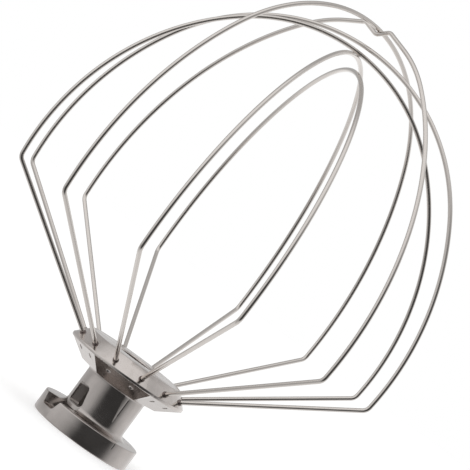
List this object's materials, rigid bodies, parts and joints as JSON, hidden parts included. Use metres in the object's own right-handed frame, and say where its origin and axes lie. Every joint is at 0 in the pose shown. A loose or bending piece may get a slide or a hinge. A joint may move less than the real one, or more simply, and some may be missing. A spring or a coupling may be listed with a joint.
{
  "type": "stand mixer wire whip",
  "caption": "Balloon whip for a stand mixer: a cast hub with a through bore for the drive shaft and a pin seat, and bent wire loops crossing over the axis.",
  "frame": {"origin": "centre of the hub flange's bottom face, which it stands on", "axes": "+Z along the shaft bore, towards the loops' crowns; -Y faces the skirt's near flat; +X to the right of it"},
  "size_m": [0.1284, 0.1308, 0.1541],
  "materials": {
    "cast_hub": "burnished",
    "wire": "bright drawn"
  },
  "bodies": {
    "root": {"hub": "cast_hub", "wire_loop_1": "wire", "wire_loop_2": "wire", "wire_loop_3": "wire", "wire_loop_4": "wire", "wire_loop_5": "wire", "wire_loop_6": "wire"}
  },
  "joints": []
}
